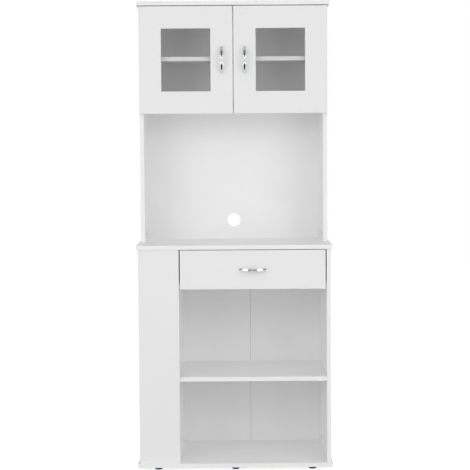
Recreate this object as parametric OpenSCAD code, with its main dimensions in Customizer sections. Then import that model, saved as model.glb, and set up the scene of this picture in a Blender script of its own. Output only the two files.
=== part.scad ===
// Microwave cabinet: a wide base with one drawer and two open bays, a column of side
// shelves behind a plain front panel, and a shallower hutch with two glazed doors.
// Millimetres. Floor at z = 0, +Z up, the front faces -Y, x = 0 is the middle.

/* [Boards] */
// Thickness of the coated boards
board_t = 15; // [15:0.5:18]
// Thickness of the hardboard backs
back_t = 3; // [2.5:0.5:4]
// Width of the step that hides a hardboard back's edge
back_step = 7.5; // [6:0.5:10]

/* [Base] */
// Outer width of the base and the hutch
case_w = 680; // [640:5:800]
// Depth of the base, from its front plane to the rear
case_depth = 388; // [370:1:460]
// Height of the base's upright panels
base_h = 760; // [720:5:860]
// How far the counter stands out past each side
counter_side = 6; // [2:0.5:15]
// How far the bottom board stands out past each side
floor_side = 6; // [2:0.5:15]
// How far the counter stands out in front
counter_front = 6; // [2:0.5:15]
// How far the bottom board stands out in front
floor_front = 7; // [2:0.5:15]
// Width of the panel in front of the side shelves
column_w = 143.5; // [130:0.5:200]
// How many side shelves
side_shelf_count = 3; // [1:1:4]
// How far the side shelves stay back from the open side
side_shelf_inset = 3; // [1:0.5:20]
// Height of the middle shelf's underside above the bottom board
mid_shelf_up = 291; // [200:1:400]
// How far the middle shelf stays back from the front plane
mid_shelf_inset = 8; // [2:1:30]
// Width of the left piece of the two-piece base back
back_left_w = 264; // [180:1:340]

/* [Feet] */
// Height of the feet
foot_h = 15; // [10:1:25]
// Diameter of a foot at the floor
foot_d = 27; // [20:1:34]
// How far the feet stay back from the board's front and rear edges
foot_inset = 36; // [25:1:60]
// How far the outer feet stay in from the board's ends
foot_side = 71; // [30:1:120]

/* [Hutch] */
// Height of the hutch's side panels
hutch_h = 855; // [800:5:950]
// How far the hutch's side panels stand back from the base's front plane
hutch_setback = 185; // [130:1:200]
// How far the top board stands out past each side
top_side = 7.5; // [2:0.5:15]
// How far the top board stands out in front of the doors
top_front = 5; // [1:0.5:12]
// Height of the cupboard floor's underside above the counter
cupboard_up = 467; // [430:1:520]
// Height of the glazed cupboard's shelf above the cupboard floor
upper_shelf_up = 175; // [120:1:240]
// How far that shelf stays back from the hutch's front edges
upper_shelf_inset = 12; // [10:1:60]
// Diameter of the cable hole
cable_hole_d = 50; // [30:1:80]
// Height of the cable hole's centre above the counter
cable_hole_up = 69; // [45:1:200]

/* [Doors] */
// Thickness of a door
door_t = 15; // [15:0.5:18]
// Gap between the two doors
door_gap = 3; // [2:0.5:5]
// Gap between the doors and the top board
door_top_gap = 3; // [2:0.5:8]
// How far the doors reach below the cupboard floor's underside
door_drop = 1; // [0:0.5:6]
// Gap between a closed door and the carcass, filled by the buffers
door_rest = 2; // [1.5:0.1:3]
// Width of a door's stiles and rails
stile_w = 80; // [70:1:100]
// Width of the ledge that the glass sits on
glass_ledge = 7; // [5:0.5:12]
// Depth of the recess for the glass, from the rear of the door
glass_recess = 8; // [6:0.5:10]
// Thickness of the glass
glass_t = 3; // [3:0.5:5]
// Play round the glass in its recess
glass_play = 0.5; // [0.3:0.1:1]
// Radius of the doors' rounded front edges
door_edge_r = 1.5; // [0.5:0.5:3]
// Diameter of a rubber buffer
buffer_d = 9; // [6:0.5:12]

/* [Drawer] */
// Height of the drawer front
drawer_front_h = 138; // [130:1:200]
// Gap between the drawer front and the counter
drawer_top_gap = 2.5; // [2:0.5:6]
// Gap at each end of the drawer front
drawer_side_gap = 4; // [2:0.5:6]
// Thickness of the drawer box's sides and back
drawer_t = 12; // [12:0.5:15]
// Height of the drawer box
drawer_box_h = 92; // [85:1:110]
// Height of the drawer box's underside above the drawer front's lower edge
drawer_box_up = 16; // [12:0.5:25]
// Height of the drawer bottom above the box's underside
drawer_bottom_up = 10; // [8:0.5:15]
// Depth of the grooves that hold the drawer bottom
groove = 5; // [4:0.5:6]
// Play of the drawer bottom in its grooves
groove_play = 0.2; // [0.1:0.1:0.5]
// How far the drawer's back stays below the top of its sides
drawer_back_drop = 12; // [4:1:20]

/* [Runners] */
// Gap between a drawer side and the panel beside it
runner_gap = 12.5; // [12.5:0.1:14]
// Thickness of the runners' sheet metal
runner_t = 1.2; // [1:0.1:1.5]
// Length of the runners and of the drawer box behind its front
runner_len = 350; // [345:1:355]
// Inner height of the channel that the rear roller runs in
channel_in = 16; // [15.5:0.1:17]
// Gap between a channel and the drawer rail's track above it
track_gap = 0.6; // [0.5:0.05:0.8]
// Running gap of the rollers
roller_play = 0.3; // [0.2:0.05:0.4]
// Diameter of the rollers' studs
stud_d = 5; // [4:0.5:6]

/* [Handles] */
// Distance between the centres of a handle's feet
handle_cc = 89; // [76:1:96]
// How far a handle stands out
handle_out = 25; // [20:1:32]
// How far a handle's bow stands out at its two ends
handle_end_out = 8; // [7:0.5:10]
// Thickness of a handle's bow
handle_bow_t = 5; // [4:0.5:6]
// Greatest width of a handle's two lobes
handle_lobe_w = 13; // [11:0.5:16]
// Width of a handle at its waist
handle_waist_w = 7; // [6:0.5:9]
// Diameter of a handle's foot flange
handle_foot_d = 11; // [10:0.5:14]
// Diameter of the handle screws
handle_screw_d = 4; // [3.5:0.5:5]

/* [Hinges] */
// Distance of a hinge's middle from the door's end
hinge_inset = 75; // [60:1:120]
// Diameter of a hinge cup
cup_d = 35; // [35:0.5:36]
// Distance from the door's outer edge to the cup
cup_edge = 4; // [4:0.1:4.5]
// Depth of the cup in the door
cup_depth = 11.5; // [11.5:0.1:12]
// Thickness of the cup's floor
cup_floor_t = 0.8; // [0.6:0.1:0.9]
// Thickness of the cup's flange on the door's rear face
flange_t = 1.2; // [0.8:0.1:1.2]
// Width of the hinge link
link_w = 13; // [11:0.5:13]
// Thickness of the hinge link
link_t = 2.2; // [1.6:0.1:2.2]
// Diameter of the hinge pins
hinge_pin_d = 2; // [1.8:0.1:2]
// Distance of the mounting plate's screws from the panel's front edge
plate_back = 37; // [32:1:45]
// Distance between a mounting plate's two screws
plate_pitch = 32; // [28:1:36]

/* [Fasteners] */
// Diameter of a cam bolt
bolt_d = 6; // [5:0.5:6]
// Shank diameter of the small wood screws
screw_d = 3.5; // [3:0.5:4]
// Head diameter of the small wood screws
screw_head_d = 6.5; // [6:0.5:7]
// Length of a small wood screw's shank
screw_in = 9; // [7:0.5:10]
// Diameter of a cam lock
cam_d = 15; // [12:1:15]
// Depth of a cam lock
cam_depth = 12; // [11:0.5:12.5]
// Distance of a cam's centre from the joint
cam_back = 24; // [20:1:34]
// Distance of the cams from a panel's edges
cam_inset = 60; // [50:1:70]
// Distance of the dowels from a panel's edges
dowel_inset = 28; // [16:1:36]
// Diameter of a dowel
dowel_d = 8; // [6:1:8]
// Length of a dowel inside the panel's end
dowel_in = 20; // [15:1:25]
// Depth of the bores in a board's face
face_bore = 7; // [6:0.5:7]
// Diameter of a shelf pin
pin_d = 5; // [4:0.5:6]
// Radial play of a fastener in its bore
fit = 0.05; // [0.02:0.01:0.1]

/* [Hidden] */
$fn = 48;
eps = 0.01;
y_front = handle_out - (handle_out + case_depth) / 2;
y_back = y_front + case_depth;
y_back_face = y_back - back_t;
x_out = case_w / 2;
x_in = x_out - board_t;
x_side_mid = x_out - board_t / 2;
z_floor = foot_h + board_t;
z_base_top = z_floor + base_h;
z_counter = z_base_top + board_t;
z_hutch_top = z_counter + hutch_h;
total_h = z_hutch_top + board_t;

x_back_edge = x_in + back_step;
x_part1 = -x_out + column_w;
x_part0 = x_part1 - board_t;
x_part_mid = x_part1 - board_t / 2;
y_col_front = y_front + board_t;
y_col_rear = y_back - board_t;
z_mid = z_floor + mid_shelf_up;

y_hutch = y_front + hutch_setback;
y_door_rear = y_hutch - door_rest;
y_door = y_door_rear - door_t;
z_cup_board = z_counter + cupboard_up;
z_upper = z_cup_board + board_t + upper_shelf_up;
z_door0 = z_cup_board - door_drop;
door_h = z_hutch_top - door_top_gap - z_door0;
door_w = x_out - door_gap / 2;
glass_front = door_t - glass_recess;
cable_hole_z = z_counter + cable_hole_up;

x_bay_mid = (x_part1 + x_in) / 2;
bay_w = x_in - x_part1;
drawer_front_w = bay_w - 2 * drawer_side_gap;
z_drawer0 = z_base_top - drawer_top_gap - drawer_front_h;
y_box0 = y_front + board_t;
y_box1 = y_box0 + runner_len;
box_half = bay_w / 2 - runner_gap;
z_box0 = z_drawer0 + drawer_box_up;
z_box1 = z_box0 + drawer_box_h;
z_sheet = z_box0 + drawer_bottom_up;

// Runners, counted from the panel face: the drawer lies at -x of it
run_front = 2;
flange_reach = 10;
open_front = 24;
z_axle = z_box0 + channel_in / 2;
z_track = z_box0 + channel_in + runner_t + track_gap;
front_roller_r = z_track - roller_play - z_axle;
rear_roller_r = channel_in / 2 - roller_play;
y_run0 = y_box0 + run_front;
y_front_axle = y_run0 + open_front / 2;
y_rear_axle = y_box1 - open_front / 2;
stud_head_d = stud_d + 3;
roller_w = 6.4;
roller_out = 3.4;
rail_out = runner_gap - runner_t;

// The turns that point a joint's +X into the board it is bolted to and its +Z out of the cam's face
to_right = [180, 0, 0];
to_left = [0, 180, 0];
to_front = [180, 0, -90];
to_rear = [180, 0, 90];
up_left = [0, -90, 0];
up_right = [0, -90, 180];
up_rear = [0, -90, -90];
up_front = [0, -90, 90];
down_right = [0, 90, 0];
down_left = [0, 90, 180];
down_rear = [0, 90, 90];
down_front = [0, 90, -90];

// Places of the joints: [[point on the meeting faces, turn], ...]
function ends(a, b, inset) = [a + inset, b - inset];
function column_x(inset) = inset == cam_inset
    ? [for (k = [1, 3]) -x_out + column_w * k / 4]
    : [-x_out + column_w / 2];
function upright(x, y0, y1, z0, z1, turn0, turn1, inset) =
    [for (y = ends(y0, y1, inset)) each [[[x, y, z0], turn0], [[x, y, z1], turn1]]];
function right_side_joints(inset) =
    upright(x_side_mid, y_front, y_back_face, z_floor, z_base_top, down_left, up_left, inset);
function partition_joints(inset) =
    upright(x_part_mid, y_col_front, y_col_rear, z_floor, z_base_top, down_left, up_left, inset);
function column_front_joints(inset) =
    [for (x = column_x(inset)) each [[[x, y_front + board_t / 2, z_floor], down_rear],
                                     [[x, y_front + board_t / 2, z_base_top], up_rear]]];
function column_rear_joints(inset) =
    [for (x = column_x(inset)) each [[[x, y_back - board_t / 2, z_floor], down_front],
                                     [[x, y_back - board_t / 2, z_base_top], up_front]]];
function hutch_left_joints(inset) =
    upright(-x_side_mid, y_hutch, y_back_face, z_counter, z_hutch_top, down_right, up_right, inset);
function hutch_right_joints(inset) =
    upright(x_side_mid, y_hutch, y_back_face, z_counter, z_hutch_top, down_left, up_left, inset);
function flat_board(x0, x1, y0, y1, z, inset) =
    [for (y = ends(y0, y1, inset)) each [[[x0, y, z + board_t / 2], to_left],
                                         [[x1, y, z + board_t / 2], to_right]]];
function mid_shelf_joints(inset) =
    flat_board(x_part1, x_in, y_front + mid_shelf_inset, y_back_face, z_mid, inset);
function cupboard_joints(inset) =
    flat_board(-x_in, x_in, y_hutch, y_back_face, z_cup_board, inset);
side_shelf_z = [for (k = [1 : side_shelf_count])
    z_floor + (base_h - side_shelf_count * board_t) * k / (side_shelf_count + 1) + (k - 1) * board_t];
function side_shelf_joints(inset) =
    [for (z = side_shelf_z) for (y = ends(y_col_front, y_col_rear, inset))
        [[x_part0, y, z + board_t / 2], to_right]];
side_shelf_end_dowels =
    [for (z = side_shelf_z) each
        [[[-x_out + column_w / 3, y_col_front, z + board_t / 2], to_front],
         [[-x_out + column_w / 3, y_col_rear, z + board_t / 2], to_rear]]];
function base_joints(inset) = concat(right_side_joints(inset), partition_joints(inset),
    column_front_joints(inset), column_rear_joints(inset));
function hutch_joints(inset) = concat(hutch_left_joints(inset), hutch_right_joints(inset));
function all_joints(inset) = concat(base_joints(inset), hutch_joints(inset), mid_shelf_joints(inset),
    cupboard_joints(inset), side_shelf_joints(inset));

pin_row_front = 37;
pin_row_rear = 37;
pin_rows = [y_hutch + pin_row_front, y_back_face - pin_row_rear];
pin_pitch = 32;
pin_deep = 9;
pin_out = 9;
foot_xs = [-x_out - floor_side + foot_side, 0, x_out + floor_side - foot_side];
foot_ys = [y_front - floor_front + foot_inset + foot_d / 2, y_back - foot_inset - foot_d / 2];
foot_nail_d = 2.5;
foot_nail = 10;
buffer_inset = 18;
buffer_gap = 0.3;

// Hinge geometry in a door's own frame: x from its outer edge, y from its front face, z from its foot
plate_t = 2;
arm_t = 1.5;
cup_r = cup_d / 2;
cup_x = cup_edge + cup_r;
link_arm = [24, door_t + door_rest + 3.45];
link_cup = [cup_edge + 5.8, door_t - 4.18];
link_bend = [[cup_edge + 9.64, door_t - 8.85], [cup_edge + 18.2, door_t - 4.7]];
link_eye_r = hinge_pin_d / 2 + 1.2;
cavity_half = link_w / 2 + 0.5;
cheek = link_w / 2 + 0.3;
rail_half = link_w / 2 - 0.2;
plate_y = door_t + door_rest + plate_back;
ear_y = 24;
ear_x = cup_x + 9.5;
ear_half_w = 7.5;
ear_end = 6;
flange_rim = 1;
cup_wall = 0.8;
hinge_zs = [hinge_inset, door_h - hinge_inset];
wing_w = 20;
wing_end = 8;
rail_w = 26;
rail_len = 40;
web_x = link_arm[0] + 2.5;
arm_screw_d = 4;
arm_screw_head_d = 7;
arm_screw_head_t = 1.8;
arm_screw_len = 7;
arm_screw_ys = [plate_y - 5, plate_y + 16];
arm_nose_r = link_eye_r + 0.6;
arm_nose_len = 4;
arm_slope = 2.5;
arm_tail = 26;
skirt_x = board_t + plate_t + 1;
skirt_ys = [plate_y - 13, plate_y + 12];

// Handles, and how thick the screws' heads are
handle_x = door_w - stile_w / 2;
leaf_out_share = 0.27;
leaf_half_share = 0.3;
handle_post_d = 8;
handle_foot_t = 2.5;
handle_screw_gap = 0.5;
handle_screw_head_d = 8;
handle_screw_head_t = 2.2;
channel_head_t = 1;
plate_head_t = 1.6;
cup_head_t = 0.7;
back_head_t = 1.2;
rail_head_t = 0.9;
cross_w = 0.8;
cross_share = 0.55;

white = "#f0f0ee";
steel = "#b9bcc0";
chrome = "#d9dcdf";

// ---- Shared shapes ----

module plate(x0, x1, y0, y1, z0, z1) {
    translate([x0, y0, z0])
        cube([x1 - x0, y1 - y0, z1 - z0]);
}

module rod_x(d, x0, x1) {
    translate([x0, 0, 0])
        rotate([0, 90, 0])
            cylinder(d = d, h = x1 - x0);
}

module rod_y(d, y0, y1) {
    translate([0, y1, 0])
        rotate([90, 0, 0])
            cylinder(d = d, h = y1 - y0);
}

module at_joints(joints) {
    for (j = joints)
        translate(j[0])
            rotate(j[1])
                children();
}

// A joint's +X points into the board it is bolted to, its +Z out of the cam's face.
module cam_bores(joints, t = board_t, depth = cam_depth) {
    at_joints(joints) {
        translate([-cam_back, 0, t / 2 - depth])
            cylinder(d = cam_d + 2 * fit, h = depth + 1);
        rod_x(bolt_d + 2 * fit, -cam_back, face_bore + fit);
    }
}

module cam_lock(t = board_t, depth = cam_depth) {
    tunnel = bolt_d + 1.6;
    difference() {
        translate([-cam_back, 0, t / 2 - depth + fit])
            cylinder(d = cam_d, h = depth - 2 * fit);
        translate([-cam_back, 0, 0])
            rod_x(tunnel, 0, cam_d);
        translate([-cam_back, 0, t / 2 - 1])
            for (a = [0, 90])
                rotate(a)
                    cube([cam_d * 0.6, 1.6, 2.2], center = true);
    }
}

module cam_bolt() {
    neck = bolt_d - 2;
    rod_x(bolt_d, -cam_back + cam_d / 2 + 1, face_bore);
    rod_x(neck, -cam_back + 2, -cam_back + cam_d / 2 + 1.5);
    rod_x(bolt_d + 0.4, -cam_back + 1.2, -cam_back + 4);
}

module dowel_bores(joints) {
    at_joints(joints)
        rod_x(dowel_d + 2 * fit, -dowel_in - 0.5, face_bore + fit);
}

module bored(groups_cam, groups_dowel) {
    difference() {
        children();
        cam_bores(groups_cam);
        dowel_bores(groups_dowel);
    }
}

// Pan head screw along +X: its head's flat side lies at x = 0.
module pan_screw(d, head_d, head_h, shank) {
    rod_x(d, 0, shank);
    difference() {
        rod_x(head_d, -head_h, 0);
        translate([-head_h, 0, 0])
            for (a = [0, 90])
                rotate([a, 0, 0])
                    cube([head_h, head_d * cross_share, cross_w], center = true);
    }
}

// ---- Base ----

module bottom_board() {
    color(white)
        difference() {
            bored(base_joints(cam_inset), base_joints(dowel_inset))
                plate(-x_out - floor_side, x_out + floor_side, y_front - floor_front, y_back,
                      foot_h, z_floor);
            for (x = foot_xs, y = foot_ys)
                translate([x, y, foot_h - eps])
                    cylinder(d = foot_nail_d + 2 * fit, h = foot_nail + eps);
        }
}

module right_side() {
    joints = [right_side_joints(cam_inset), mid_shelf_joints(cam_inset)];
    pegs = [right_side_joints(dowel_inset), mid_shelf_joints(dowel_inset)];
    color(white)
        difference() {
            bored(concat(joints[0], joints[1]), concat(pegs[0], pegs[1]))
                plate(x_in, x_out, y_front, y_back, z_floor, z_base_top);
            plate(x_in - eps, x_back_edge, y_back_face, y_back + eps, z_floor - eps, z_base_top + eps);
            at_runner(1)
                channel_screw_bores();
        }
}

module partition() {
    cams = concat(partition_joints(cam_inset), mid_shelf_joints(cam_inset), side_shelf_joints(cam_inset));
    pegs = concat(partition_joints(dowel_inset), mid_shelf_joints(dowel_inset),
                  side_shelf_joints(dowel_inset));
    color(white)
        difference() {
            bored(cams, pegs)
                plate(x_part0, x_part1, y_col_front, y_col_rear, z_floor, z_base_top);
            at_runner(-1)
                channel_screw_bores();
        }
}

module column_front() {
    color(white)
        bored(column_front_joints(cam_inset),
              concat(column_front_joints(dowel_inset), side_shelf_end_dowels))
            plate(-x_out, x_part1, y_front, y_col_front, z_floor, z_base_top);
}

module column_rear() {
    color(white)
        difference() {
            bored(column_rear_joints(cam_inset),
                  concat(column_rear_joints(dowel_inset), side_shelf_end_dowels))
                plate(-x_out, x_part1, y_col_rear, y_back, z_floor, z_base_top);
            plate(x_part1 - back_step, x_part1 + eps, y_back_face, y_back + eps,
                  z_floor - eps, z_base_top + eps);
        }
}

module side_shelves() {
    color(white)
        bored(side_shelf_joints(cam_inset),
              concat(side_shelf_joints(dowel_inset), side_shelf_end_dowels))
            for (z = side_shelf_z)
                plate(-x_out + side_shelf_inset, x_part0, y_col_front, y_col_rear, z, z + board_t);
}

module mid_shelf() {
    color(white)
        bored(mid_shelf_joints(cam_inset), mid_shelf_joints(dowel_inset))
            plate(x_part1, x_in, y_front + mid_shelf_inset, y_back_face, z_mid, z_mid + board_t);
}

module counter() {
    color(white)
        bored(concat(base_joints(cam_inset), hutch_joints(cam_inset)),
              concat(base_joints(dowel_inset), hutch_joints(dowel_inset)))
            plate(-x_out - counter_side, x_out + counter_side, y_front - counter_front, y_back,
                  z_base_top, z_counter);
}

seam_x = x_part1 - back_step + back_left_w;
seam_gap = 0.6;

module base_back_left() {
    color(white)
        plate(x_part1 - back_step, seam_x - seam_gap / 2, y_back_face, y_back, z_floor, z_base_top);
}

module base_back_right() {
    color(white)
        plate(seam_x + seam_gap / 2, x_back_edge, y_back_face, y_back, z_floor, z_base_top);
}

// A nail-in glide: a turned foot with its nail moulded in.
module glide_feet() {
    r = foot_d / 2;
    rim = 2;
    color("#1c1c1c")
        for (x = foot_xs, y = foot_ys)
            translate([x, y, 0]) {
                rotate_extrude()
                    union() {
                        polygon([[0, 0], [r - rim, 0], [r, rim], [r, foot_h * 0.4],
                                 [r * 0.78, foot_h * 0.55], [r * 0.7, foot_h], [0, foot_h]]);
                        translate([r - rim, rim])
                            circle(rim);
                    }
                translate([0, 0, foot_h - 1])
                    cylinder(d = foot_nail_d, h = foot_nail + 1 - fit);
            }
}

// ---- Hutch ----

module hutch_side() {
    // drawn as the right side
    color(white)
        difference() {
            bored(concat(hutch_right_joints(cam_inset), cupboard_joints(cam_inset)),
                  concat(hutch_right_joints(dowel_inset), cupboard_joints(dowel_inset)))
                plate(x_in, x_out, y_hutch, y_back, z_counter, z_hutch_top);
            plate(x_in - eps, x_back_edge, y_back_face, y_back + eps,
                  z_counter - eps, z_hutch_top + eps);
            for (y = pin_rows, k = [-2 : 2])
                translate([0, y, z_upper - pin_d / 2 - fit + k * pin_pitch])
                    rod_x(pin_d + 2 * fit, x_in - eps, x_in + pin_deep + fit);
            at_door(1)
                plate_screw_bores();
        }
}

module hutch_right_side() {
    hutch_side();
}

module hutch_left_side() {
    mirror([1, 0, 0])
        hutch_side();
}

module cupboard_floor() {
    color(white)
        bored(cupboard_joints(cam_inset), cupboard_joints(dowel_inset))
            plate(-x_in, x_in, y_hutch, y_back_face, z_cup_board, z_cup_board + board_t);
}

module upper_shelf() {
    play = 1;
    color(white)
        plate(-x_in + play, x_in - play, y_hutch + upper_shelf_inset, y_back_face,
              z_upper, z_upper + board_t);
}

module shelf_pins() {
    collar = 1.5;
    color(steel)
        for (side = [0, 1], y = pin_rows)
            mirror([side, 0, 0])
                translate([0, y, z_upper - pin_d / 2 - fit]) {
                    rod_x(pin_d, x_in - pin_out, x_in + pin_deep);
                    intersection() {
                        rod_x(pin_d + 3, x_in - collar, x_in);
                        plate(x_in - collar, x_in, -pin_d, pin_d, -pin_d, pin_d / 2);
                    }
                }
}

module top_board() {
    color(white)
        bored(hutch_joints(cam_inset), hutch_joints(dowel_inset))
            plate(-x_out - top_side, x_out + top_side, y_door - top_front, y_back,
                  z_hutch_top, total_h);
}

module hutch_back() {
    color(white)
        difference() {
            plate(-x_back_edge, x_back_edge, y_back_face, y_back, z_counter, z_hutch_top);
            translate([0, 0, cable_hole_z])
                rod_y(cable_hole_d, y_back_face - eps, y_back + eps);
        }
}

// ---- Fasteners of the carcass ----

module cam_locks() {
    color(steel)
        at_joints(all_joints(cam_inset))
            cam_lock();
}

module cam_bolts() {
    color(steel)
        at_joints(all_joints(cam_inset))
            cam_bolt();
}

module dowels() {
    color("#d8b98a")
        at_joints(concat(all_joints(dowel_inset), side_shelf_end_dowels))
            rod_x(dowel_d, -dowel_in, face_bore);
}

module wood_screws() {
    color(steel) {
        for (side = [-1, 1]) {
            at_runner(side)
                channel_screw_places()
                    pan_screw(screw_d, screw_head_d, channel_head_t, screw_in + runner_t);
            at_door(side)
                plate_screw_places()
                    rotate([0, 0, 180])
                        pan_screw(screw_d, screw_head_d, plate_head_t, screw_in + plate_t);
        }
    }
}

// ---- Hinges ----

// side -1 is the left door, 1 the right one: x from the outer edge, y from the front face, z from the foot.
module at_door(side) {
    mirror([side > 0 ? 1 : 0, 0, 0])
        translate([-x_out, y_door, z_door0])
            children();
}

module plate_screw_places() {
    for (z = hinge_zs, s = [-1, 1])
        translate([board_t + plate_t, plate_y, z + s * plate_pitch / 2])
            children();
}

module plate_screw_bores() {
    plate_screw_places()
        rod_x(screw_d + 2 * fit, -plate_t - screw_in - fit, 0);
}

module hinge_plates() {
    wing_z = plate_pitch + 2 * wing_end;
    color(steel)
        for (side = [-1, 1])
            at_door(side)
                for (z = hinge_zs)
                    difference() {
                        translate([board_t, plate_y, z]) {
                            translate([0, -wing_w / 2, -wing_z / 2])
                                cube([plate_t, wing_w, wing_z]);
                            translate([0, -rail_w / 2, -rail_half])
                                cube([web_x - board_t, rail_len, 2 * rail_half]);
                        }
                        for (s = [-1, 1])
                            translate([0, plate_y, z + s * plate_pitch / 2])
                                rod_x(screw_d + 2 * fit, board_t - eps, board_t + plate_t + eps);
                        arm_screw_places(z)
                            rod_x(arm_screw_d + 2 * fit, -arm_screw_len - fit, 0);
                    }
}

// On the arm's outer face, above the mounting plate's rail
module arm_screw_places(z) {
    for (y = arm_screw_ys)
        translate([web_x + arm_t, y, z])
            children();
}

module arm_screws() {
    color(steel)
        for (side = [-1, 1])
            at_door(side)
                for (z = hinge_zs)
                    arm_screw_places(z)
                        rotate([0, 0, 180])
                            pan_screw(arm_screw_d, arm_screw_head_d, arm_screw_head_t, arm_screw_len);
}

// A channel-shaped arm over the plate's rail: two cheeks, a web and the pin of the link's eye.
module hinge_arms() {
    y_nose = link_arm[1];
    y_end = plate_y + arm_tail;
    color(steel)
        for (side = [-1, 1])
            at_door(side)
                for (z = hinge_zs)
                    difference() {
                        translate([0, 0, z])
                            union() {
                                for (s = [0, 1])
                                    mirror([0, 0, s])
                                        translate([0, 0, cheek])
                                            linear_extrude(arm_t)
                                                union() {
                                                    translate(link_arm)
                                                        circle(arm_nose_r);
                                                    polygon([[web_x + arm_t, y_nose + arm_slope],
                                                             [web_x + arm_t, y_end],
                                                             [skirt_x, y_end],
                                                             [skirt_x, skirt_ys[1]],
                                                             [skirt_x, skirt_ys[0]],
                                                             [link_arm[0] - arm_nose_r,
                                                              y_nose + arm_nose_len],
                                                             [link_arm[0] - arm_nose_r, y_nose]]);
                                                }
                                translate([web_x, y_nose + arm_nose_len, -cheek])
                                    cube([arm_t, y_end - y_nose - arm_nose_len, 2 * cheek]);
                                translate([link_arm[0], link_arm[1], -cheek - arm_t])
                                    cylinder(d = hinge_pin_d, h = 2 * (cheek + arm_t));
                            }
                        arm_screw_places(z)
                            rod_x(arm_screw_d + 2 * fit, -arm_t - eps, eps);
                    }
}

// A strip of constant thickness along straight runs, with round bends.
module strip(points, t) {
    for (i = [0 : len(points) - 2]) {
        run = points[i + 1] - points[i];
        translate(points[i])
            rotate(atan2(run[1], run[0]))
                translate([0, -t / 2])
                    square([norm(run), t]);
        translate(points[i + 1])
            circle(d = t);
    }
}

module hinge_link() {
    color(steel)
        translate([0, 0, -link_w / 2])
            linear_extrude(link_w)
                difference() {
                    union() {
                        strip(concat([link_cup], link_bend, [link_arm]), link_t);
                        for (p = [link_cup, link_arm])
                            translate(p)
                                circle(link_eye_r);
                    }
                    for (p = [link_cup, link_arm])
                        translate(p)
                            circle(d = hinge_pin_d + 2 * fit);
                }
}

module hinge_links(side) {
    at_door(side)
        for (z = hinge_zs)
            translate([0, 0, z])
                hinge_link();
}

module left_hinge_links() {
    hinge_links(-1);
}

module right_hinge_links() {
    hinge_links(1);
}

module cup_screw_places() {
    for (z = hinge_zs, s = [-1, 1])
        translate([ear_x, door_t + flange_t, z + s * ear_y])
            children();
}

module hinge_cups(side) {
    color(steel)
        at_door(side)
            difference() {
                union() {
                    for (z = hinge_zs)
                        translate([cup_x, 0, z]) {
                            rod_y(cup_d, door_t - cup_depth, door_t + eps);
                            rod_y(cup_d + 2 * flange_rim, door_t, door_t + flange_t);
                            translate([ear_x - cup_x - ear_half_w, door_t, -ear_y - ear_end])
                                cube([2 * ear_half_w, flange_t, 2 * (ear_y + ear_end)]);
                        }
                }
                for (z = hinge_zs)
                    translate([cup_x, 0, z])
                        intersection() {
                            rod_y(cup_d - 2 * cup_wall, door_t - cup_depth + cup_floor_t, door_t + flange_t + 1);
                            cube([cup_d, 4 * door_t, 2 * cavity_half], center = true);
                        }
                // the links fold over the edge through this notch
                for (z = hinge_zs)
                    translate([0, door_t, z - cavity_half])
                        cube([cup_x, flange_t + 1, 2 * cavity_half]);
                cup_screw_places()
                    rod_y(screw_d + 2 * fit, -flange_t - eps, eps);
            }
    color(steel)
        at_door(side)
            for (z = hinge_zs)
                translate([link_cup[0], link_cup[1], z - cavity_half - 0.5])
                    cylinder(d = hinge_pin_d, h = 2 * cavity_half + 1);
}

module left_hinge_cups() {
    hinge_cups(-1);
}

module right_hinge_cups() {
    hinge_cups(1);
}

module cup_screws(side) {
    color(steel)
        at_door(side)
            cup_screw_places()
                rotate([0, 0, -90])
                    pan_screw(screw_d, screw_head_d, cup_head_t, screw_in + flange_t);
}

module left_cup_screws() {
    cup_screws(-1);
}

module right_cup_screws() {
    cup_screws(1);
}

// Rubber buffers on the front edge of the cupboard floor, two behind each door.
module door_buffers() {
    color("#e8e8e8")
        for (side = [-1, 1])
            at_door(side)
                for (x = [buffer_inset + stile_w, door_w - buffer_inset])
                    translate([x, 0, door_drop + board_t / 2])
                        rod_y(buffer_d, door_t + buffer_gap, door_t + door_rest);
}

// ---- Doors ----

// What a rounded edge takes off, along +Z, with the sharp corner at the origin.
module edge_round(r, length) {
    linear_extrude(length)
        difference() {
            translate([-1, -1])
                square([r + 1, r + 1]);
            translate([r, r])
                circle(r);
        }
}

module round_outline(w, h, r) {
    // the four front edges of a panel w wide and h high: x right, z up, front face at y = 0
    translate([0, 0, -1])
        edge_round(r, h + 2);
    translate([w, 0, -1])
        rotate(90)
            edge_round(r, h + 2);
    translate([w + 1, 0, 0])
        rotate([0, -90, 0])
            edge_round(r, w + 2);
    translate([-1, 0, h])
        rotate([0, 90, 0])
            edge_round(r, w + 2);
}

module handle_bores(deep) {
    for (s = [-1, 1])
        translate([0, 0, s * handle_cc / 2])
            rod_y(handle_screw_d + 2 * fit, -deep, door_t + board_t);
}

module door_panel(side) {
    win_w = door_w - 2 * stile_w;
    win_h = door_h - 2 * stile_w;
    color(white)
        at_door(side)
            difference() {
                cube([door_w, door_t, door_h]);
                translate([stile_w, -1, stile_w])
                    cube([win_w, door_t + 2, win_h]);
                translate([stile_w - glass_ledge, glass_front, stile_w - glass_ledge])
                    cube([win_w + 2 * glass_ledge, glass_recess + 1, win_h + 2 * glass_ledge]);
                round_outline(door_w, door_h, door_edge_r);
                for (z = hinge_zs)
                    translate([cup_x, 0, z])
                        rod_y(cup_d + 2 * fit, door_t - cup_depth - fit, door_t + 1);
                cup_screw_places()
                    rod_y(screw_d + 2 * fit, -flange_t - screw_in - fit, 0);
                translate([handle_x, 0, door_h / 2])
                    handle_bores(1);
            }
}

module left_door() {
    door_panel(-1);
}

module right_door() {
    door_panel(1);
}

module door_glass(side) {
    reach = glass_ledge - glass_play;
    color("#a9bfc4", 0.35)
        at_door(side)
            translate([stile_w - reach, glass_front, stile_w - reach])
                cube([door_w - 2 * (stile_w - reach), glass_t, door_h - 2 * (stile_w - reach)]);
}

module left_glass() {
    door_glass(-1);
}

module right_glass() {
    door_glass(1);
}

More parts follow.
